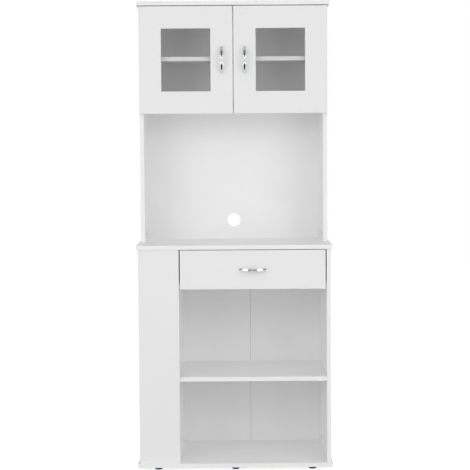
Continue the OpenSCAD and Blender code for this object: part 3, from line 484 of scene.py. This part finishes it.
def turned(profile, around=48, centre=(0.0, 0.0, 0.0)):
    """A turned shape about Z: each profile point (radius, height) is carried round a circle."""
    turn = np.linspace(0, 2 * np.pi, around, endpoint=False)
    radius, height = np.asarray(profile, float).T
    return np.stack([centre[0] + radius[:, None] * np.cos(turn),
                     centre[1] + radius[:, None] * np.sin(turn),
                     centre[2] + height[:, None] + 0 * turn], axis=-1)


def rounded(points, radius, steps=6):
    """A profile with its inner corners rounded: each corner becomes a quadratic curve with the
    corner as its control point. It starts and ends a radius away, or 0.45 of a shorter leg."""
    points = np.asarray(points, float)
    out = [points[0]]
    for before, corner, after in zip(points, points[1:], points[2:]):
        legs = [before - corner, after - corner]
        cut = min(radius, *(0.45 * np.linalg.norm(leg) for leg in legs))
        start, end = (corner + leg / np.linalg.norm(leg) * cut for leg in legs)
        t = np.linspace(0, 1, steps)[:, None]
        out.extend((1 - t) ** 2 * start + 2 * t * (1 - t) * corner + t ** 2 * end)
    return np.array([*out, points[-1]])


# ---- Handles ----

def bow(handle):
    """The bow: along runs on a round arch, across and out are the section's two half widths.
    A section is a rounded oval, cos(v) to the power 0.85 across and sin(v) to the power 0.9 out.
    Its half width is the sixth-power mean of the waist and of a parabola for each leaf, and both
    close at the tips as the root of 1 minus the squared share of the last stretch."""
    overhang = 4 * MM  # from a foot's centre to the bow's tip
    leaf_middle, leaf_half = 0.27 * handle.spacing, 0.3 * handle.spacing
    half = handle.spacing / 2 + overhang
    sag = handle.reach - handle.end_reach
    radius = (half ** 2 + sag ** 2) / (2 * sag)
    u = np.sin(np.linspace(-np.pi / 2, np.pi / 2, handle.rings + 2)[1:-1])
    reach = math.asin(half / radius)
    lean = u * reach
    length = np.abs(lean) * radius
    waist = handle.waist / 2
    from_leaf = (np.abs(radius * np.sin(lean)) - leaf_middle) / leaf_half
    leaf = handle.leaf / 2 * (1 - from_leaf ** 2)
    width = (np.maximum(leaf, 0) ** 6 + waist ** 6) ** (1 / 6)
    tip = np.clip((length - (reach * radius - waist)) / waist, 0, 1)
    close = np.sqrt(np.maximum(1 - tip ** 2, 0))
    v = np.linspace(0, 2 * np.pi, handle.around, endpoint=False)
    across = np.sign(np.cos(v)) * np.abs(np.cos(v)) ** 0.85
    out = np.sign(np.sin(v)) * np.abs(np.sin(v)) ** 0.9
    middle = radius - handle.thickness / 2
    lift = middle + (handle.thickness / 2 * close)[:, None] * out
    return np.stack([lift * np.sin(lean)[:, None],
                     (width * close)[:, None] * across,
                     lift * np.cos(lean)[:, None] - (radius - handle.reach)], axis=-1)


def handle_shells(handle):
    """Bow and two turned feet, as (along, across, out)."""
    foot, neck, rim, tall = handle.foot / 2, 3.1 * MM, 1.6 * MM, 8 * MM
    profile = rounded([(CORE, 0), (foot, 0), (foot, rim), (foot - 1.4 * MM, 2.5 * MM),
                       (neck + 0.6 * MM, 2 * rim), (neck, 5 * MM), (neck, tall), (CORE, tall)],
                      0.9 * MM)
    feet = [turned(profile, 40, (side * handle.spacing / 2, 0.0, 0.0)) for side in (-1, 1)]
    return [bow(handle), *feet]


def hang_handle(name, node, body, upright, handle, material):
    """A handle where its node stands: the node's box gives the centre and the face it sits on."""
    low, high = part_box(node)
    centre = (low + high) / 2
    shells = []
    for shell in handle_shells(handle):
        along, across, out = np.moveaxis(shell, -1, 0)
        x, z = (across, along) if upright else (along, across)
        shells.append(np.stack([centre.x + x, high.y - out, centre.z + z], axis=-1))
    piece = smooth_object(name, shells, material)
    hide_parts(node)
    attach(piece, body)


# ---- Strip of painted shade in a seam ----

def strip_between(name, left, right, depth, material):
    """A thin strip in the gap between two upright boards: the gap's oblong section, a hair
    narrower, carried from the boards' lower to their upper ends. It is depth deep, and its back
    lies a little before theirs."""
    start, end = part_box(left)[1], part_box(right)[0]
    hair, inset = 0.02 * MM, 0.3 * MM
    back = start.y - inset
    front = back - depth
    section = np.array([(start.x + hair, front), (end.x - hair, front),
                        (end.x - hair, back), (start.x + hair, back)])
    rings = np.stack([np.column_stack([section, np.full(len(section), z)])
                      for z in (end.z + hair, start.z - hair)])
    return smooth_object(name, [rings], material)


# ---- Operators ----

def dress(material, *names):
    """Gives CAD nodes their finish."""
    for name in names:
        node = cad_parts[name]
        node.data.materials.clear()
        node.data.materials.append(material)


class OBJECT_OT_cabinet_boards(Operator):
    """Coats the boards and the thin backs, and makes the dark strip of painted shade in the base
    backs' seam
    """

    bl_idname = "object.cabinet_boards"
    bl_label = "Boards"

    def execute(self, context):
        boards = context.scene.cabinet_boards
        dress(coated_board("white coated board", boards, boards.band),
              "bottom_board", "right_side", "partition", "side_shelves", "mid_shelf", "counter",
              "hutch_left_side", "hutch_right_side", "cupboard_floor", "upper_shelf", "top_board")
        dress(coated_board("white coated panel", boards, boards.front, bare_rear=False),
              "column_front", "column_rear")
        dress(fibre_back("painted fibre board", boards),
              "base_back_left", "base_back_right", "hutch_back")
        # The strip's near-black colour is painted shade: it stands for the shadow in the gap
        # between the two backs.
        dark = moulded_plastic("painted seam shade strip", "#232323", "#1a1a1a", 0.6, 0.75, 0.6 * MM)
        strip = strip_between("seam_shade_strip", "base_back_left", "base_back_right", 1 * MM, dark)
        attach(strip, "carcass")
        return {"FINISHED"}


class OBJECT_OT_cabinet_doors(Operator):
    """Finishes the door frames, panes and glazing beads"""

    bl_idname = "object.cabinet_doors"
    bl_label = "Doors"

    def execute(self, context):
        scene = context.scene
        boards = scene.cabinet_boards
        dress(coated_board("white door board", boards, boards.front, bare_rear=False),
              "left_door", "right_door")
        dress(clear_pane("clear pane", scene.cabinet_glass), "left_glass", "right_glass")
        dress(moulded_plastic("white glazing bead", "#f0f0ee", "#e9e9e7", 0.35, 0.45, 0.8 * MM),
              "left_glass_bead", "right_glass_bead")
        return {"FINISHED"}


class OBJECT_OT_cabinet_drawer(Operator):
    """Finishes the drawer's front and box"""

    bl_idname = "object.cabinet_drawer"
    bl_label = "Drawer"

    def execute(self, context):
        boards = context.scene.cabinet_boards
        dress(coated_board("white drawer board", boards, boards.front, bare_rear=False),
              "drawer_front", "drawer_left_side", "drawer_right_side", "drawer_back",
              "drawer_bottom")
        return {"FINISHED"}


class OBJECT_OT_cabinet_handles(Operator):
    """Makes the three chrome bow handles"""

    bl_idname = "object.cabinet_handles"
    bl_label = "Handles"

    def execute(self, context):
        handle = context.scene.cabinet_handles
        chrome = polished_chrome("polished chrome")
        hang_handle("left_door_bow", "left_handle", "left_door", True, handle, chrome)
        hang_handle("right_door_bow", "right_handle", "right_door", True, handle, chrome)
        hang_handle("drawer_bow", "drawer_handle", "drawer", False, handle, chrome)
        return {"FINISHED"}


class OBJECT_OT_cabinet_glides(Operator):
    """Makes the six black glides"""

    bl_idname = "object.cabinet_glides"
    bl_label = "Glides"

    def execute(self, context):
        glide = context.scene.cabinet_glides
        wide, tall = glide.diameter / 2, glide.height
        nail, point, tip = 1.25 * MM, 2 * MM, tall + glide.nail
        profile = rounded([(CORE, 0), (wide - 2.5 * MM, 0), (wide, 1.2 * MM), (wide, 0.4 * tall),
                           (0.8 * wide, 0.6 * tall), (0.7 * wide, tall), (nail, tall),
                           (nail, tip - point), (CORE, tip)], 1.4 * MM)
        low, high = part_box("glide_feet")
        xs = (low.x + wide, 0.0, high.x - wide)
        ys = (low.y + wide, high.y - wide)
        shells = [turned(profile, 48, (x, y, low.z)) for x in xs for y in ys]
        black = moulded_plastic("black moulded glide", "#1c1c1e", "#121213", 0.4, 0.52, 0.5 * MM)
        piece = smooth_object("glides", shells, black)
        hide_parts("glide_feet")
        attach(piece, "carcass")
        return {"FINISHED"}


class OBJECT_OT_cabinet_hinges(Operator):
    """Finishes the cup hinges and the doors' buffers"""

    bl_idname = "object.cabinet_hinges"
    bl_label = "Hinges"

    def execute(self, context):
        nickel = plated_steel("nickel plated steel", "#c9c8c3", "#b4b3ae", 0.22, 0.36)
        dress(nickel, "hinge_plates", "hinge_arms", "arm_screws", "left_hinge_cups",
              "right_hinge_cups", "left_cup_screws", "right_cup_screws", "left_hinge_links",
              "right_hinge_links")
        dress(moulded_plastic("soft clear buffer", "#eceeee", "#dfe2e2", 0.3, 0.4, 1 * MM,
                              Transmission_Weight=0.7, IOR=1.49), "door_buffers")
        return {"FINISHED"}


class OBJECT_OT_cabinet_runners(Operator):
    """Finishes the drawer's runners and rollers"""

    bl_idname = "object.cabinet_runners"
    bl_label = "Runners"

    def execute(self, context):
        dress(enamelled_steel("white enamelled steel"),
              "left_channel", "right_channel", "left_rail", "right_rail")
        dress(moulded_plastic("white nylon", "#f3f2ec", "#e9e8e1", 0.4, 0.5, 0.6 * MM,
                              Subsurface_Weight=0.15, Subsurface_Scale=1 * MM),
              "left_front_roller", "right_front_roller", "left_rear_roller", "right_rear_roller")
        return {"FINISHED"}


class OBJECT_OT_cabinet_fasteners(Operator):
    """Finishes the cams, bolts, pins, screws and dowels"""

    bl_idname = "object.cabinet_fasteners"
    bl_label = "Fasteners"

    def execute(self, context):
        zinc = plated_steel("zinc plated steel", "#bdbfc2", "#9b9da1", 0.32, 0.5)
        dress(zinc, "shelf_pins", "cam_locks", "cam_bolts", "wood_screws", "left_handle_screws",
              "right_handle_screws", "drawer_handle_screws", "drawer_cams", "drawer_bolts",
              "drawer_screws")
        dress(beech_dowel("beech dowel"), "dowels")
        return {"FINISHED"}


# ---- Stage ----

def soft_lamp(name, power, width, height, place, aim):
    """A soft lamp with an oblong face at a place, turned to the Z axis at aim metres up."""
    data = bpy.data.lights.new(name, "AREA")
    data.shape = "RECTANGLE"
    data.size, data.size_y = width, height
    data.energy = power
    lamp = bpy.data.objects.new(name, data)
    turn = (Vector((0, 0, aim)) - Vector(place)).to_track_quat("-Z", "Y")
    lamp.matrix_world = Matrix.Translation(place) @ turn.to_matrix().to_4x4()
    bpy.context.scene.collection.objects.link(lamp)


class OBJECT_OT_cabinet_stage(Operator):
    """Sets up the camera, the pale floor, the white backdrop and the soft lamps"""

    bl_idname = "object.cabinet_stage"
    bl_label = "Stage"

    def execute(self, context):
        stage = context.scene.cabinet_stage
        self.camera(context.scene, stage)
        self.floor(stage)
        self.world(context.scene, stage)
        self.flag()
        for name, side in (("left lamp", -1), ("right lamp", 1)):
            soft_lamp(name, stage.sides, 2.2, 3.0, (2.5 * side, -3.1, 1.5), 0.95)
        soft_lamp("front lamp", stage.front, 5.0, 3.6, (0, -5.6, 1.85), 1.0)
        soft_lamp("upper lamp", stage.above, 3.0, 3.0, (0, -4.2, 3.4), 0.9)
        return {"FINISHED"}

    def camera(self, scene, stage):
        """The view axes: level ones turned by yaw, tilted by pitch and turned by roll."""
        right = Vector((math.cos(stage.yaw), -math.sin(stage.yaw), 0))
        ahead = Vector((math.sin(stage.yaw), math.cos(stage.yaw), 0))
        up = ahead * math.sin(stage.pitch) + Vector((0, 0, math.cos(stage.pitch)))
        sight = ahead * math.cos(stage.pitch) - Vector((0, 0, math.sin(stage.pitch)))
        x = right * math.cos(stage.roll) - up * math.sin(stage.roll)
        y = right * math.sin(stage.roll) + up * math.cos(stage.roll)
        data = bpy.data.cameras.new("camera")
        data.sensor_width = 36  # mm, as the lens setting says
        data.lens = stage.lens
        camera = bpy.data.objects.new("camera", data)
        facing = Matrix((x, y, -sight)).transposed()
        camera.matrix_world = Matrix.Translation(stage.eye) @ facing.to_4x4()
        scene.collection.objects.link(camera)
        scene.camera = camera

    def floor(self, stage):
        """A pale disc that keeps the cabinet's soft shadow and is lifted to white for the eye."""
        to_eye, to_mirror = 0.8, 0.4
        material, tree, at = blank("pale studio floor")
        cloud = clouds(tree, at["Object"], 0.5, Detail=3.0)
        tone = add(tree, "Mix", cloud, srgb("#cecece"), srgb("#d2d2d2"), data_type="RGBA")
        matt = add(tree, "BsdfPrincipled", Base_Color=tone, Roughness=0.9)
        ray = add(tree, "LightPath", take=None)
        mirrored = add(tree, "Math", ray["Is Glossy Ray"], ray["Is Transmission Ray"],
                       operation="MAXIMUM")
        lift = add(tree, "Math", mirrored, to_mirror, operation="MULTIPLY")
        lift = add(tree, "Math", ray["Is Camera Ray"], to_eye, lift, operation="MULTIPLY_ADD")
        glow = add(tree, "Emission", WHITE, lift)
        add(tree, "OutputMaterial", add(tree, "AddShader", matt, glow), take=None)
        turn = np.linspace(0, 2 * np.pi, 96, endpoint=False)
        points = stage.floor * np.stack([np.cos(turn), np.sin(turn), 0 * turn], axis=-1)
        disc = mesh_object("floor", points, [list(range(len(turn)))], material)

    def flag(self):
        """Two photographer's black flags that only mirrors see, so that chrome has something dark
        to show between the side lamps. One is an arc high in front of the cabinet and one lies
        on the floor before it. Both widen with their distance from it."""
        radius, centre, lift = 4.0, 1.35, 2 * MM
        over_share, under_share = 0.25, 0.42  # half width of a flag over its distance
        rise = np.radians(np.linspace(16, 52, 25))
        over = np.stack([-radius * np.cos(rise), centre + radius * np.sin(rise)], axis=-1)
        reach = np.linspace(-1.0, -4.2, 12)
        under = np.stack([reach, 0 * reach + lift], axis=-1)
        points, faces = [], []
        for path, share in ((over, over_share), (under, under_share)):
            half = share * np.abs(path[:, 0])
            first = sum(len(p) for p in points)
            points += [np.column_stack([side * half, path]) for side in (-1, 1)]
            i, count = first + np.arange(len(path) - 1), len(path)
            faces += np.stack([i, i + count, i + count + 1, i + 1], axis=-1).tolist()
        material, tree, at = blank("black flag cloth")
        weave = add(tree, "TexNoise", at["Object"], 1 / (2 * MM))
        cover(tree, Roughness=0.95, Base_Color=add(
            tree, "Mix", weave, srgb("#141414"), srgb("#1c1c1c"), data_type="RGBA"))
        flags = mesh_object("flags", np.concatenate(points), faces, material)
        for ray in ("camera", "diffuse", "transmission", "volume_scatter", "shadow"):
            setattr(flags, "visible_" + ray, False)

    def world(self, scene, stage):
        """Soft light from above, and plain white where the eye, a mirror or a pane looks past
        the cabinet towards the backdrop. White boards pass light between them many times, so
        more bounces are followed than usual."""
        world = bpy.data.worlds.new("studio")
        world.use_nodes = True
        tree = world.node_tree
        tree.nodes.clear()
        scene.world = world
        ray = add(tree, "LightPath", take=None)
        along = add(tree, "SeparateXYZ", add(tree, "TexCoord", take="Generated"), take=None)
        behind = add(tree, "MapRange", along["Y"], -0.2, 0.3)
        mirrored = add(tree, "Math", ray["Is Glossy Ray"], behind, operation="MULTIPLY")
        seen = add(tree, "Math", ray["Is Camera Ray"], ray["Is Transmission Ray"],
                   operation="MAXIMUM")
        seen = add(tree, "Math", seen, mirrored, operation="MAXIMUM")
        above = add(tree, "Math", along["Z"], 0.0, operation="MAXIMUM")
        sky = add(tree, "Math", above, stage.sky, operation="MULTIPLY")
        light = add(tree, "Background", WHITE, sky)
        white = add(tree, "Background", WHITE, WHITE_LEVEL)
        add(tree, "OutputWorld", add(tree, "MixShader", seen, light, white), take=None)
        scene.view_settings.view_transform = "Standard"
        scene.cycles.diffuse_bounces = 12
        scene.cycles.max_bounces = 16


OPERATORS = (
    OBJECT_OT_cabinet_boards,
    OBJECT_OT_cabinet_doors,
    OBJECT_OT_cabinet_drawer,
    OBJECT_OT_cabinet_handles,
    OBJECT_OT_cabinet_glides,
    OBJECT_OT_cabinet_hinges,
    OBJECT_OT_cabinet_runners,
    OBJECT_OT_cabinet_fasteners,
    OBJECT_OT_cabinet_stage,
)


class VIEW3D_PT_cabinet(Panel):
    """Lists the cabinet's operators and settings"""

    bl_idname = "VIEW3D_PT_cabinet"
    bl_label = "Microwave cabinet"
    bl_space_type = "VIEW_3D"
    bl_region_type = "UI"
    bl_category = "Cabinet"

    def draw(self, context):
        for operator in OPERATORS:
            self.layout.operator(operator.bl_idname)
        for name, group in SETTINGS.items():
            box = self.layout.box()
            for field in group.__annotations__:
                box.prop(getattr(context.scene, name), field)


CLASSES = (*SETTINGS.values(), *OPERATORS, VIEW3D_PT_cabinet)


def register():
    for cls in CLASSES:
        bpy.utils.register_class(cls)
    for name, group in SETTINGS.items():
        setattr(bpy.types.Scene, name, PointerProperty(type=group))


def unregister():
    for name in SETTINGS:
        delattr(bpy.types.Scene, name)
    for cls in reversed(CLASSES):
        bpy.utils.unregister_class(cls)


def main():
    register()
    bpy.ops.object.cabinet_boards()
    bpy.ops.object.cabinet_doors()
    bpy.ops.object.cabinet_drawer()
    bpy.ops.object.cabinet_handles()
    bpy.ops.object.cabinet_glides()
    bpy.ops.object.cabinet_hinges()
    bpy.ops.object.cabinet_runners()
    bpy.ops.object.cabinet_fasteners()
    bpy.ops.object.cabinet_stage()


if __name__ == "__main__":
    main()
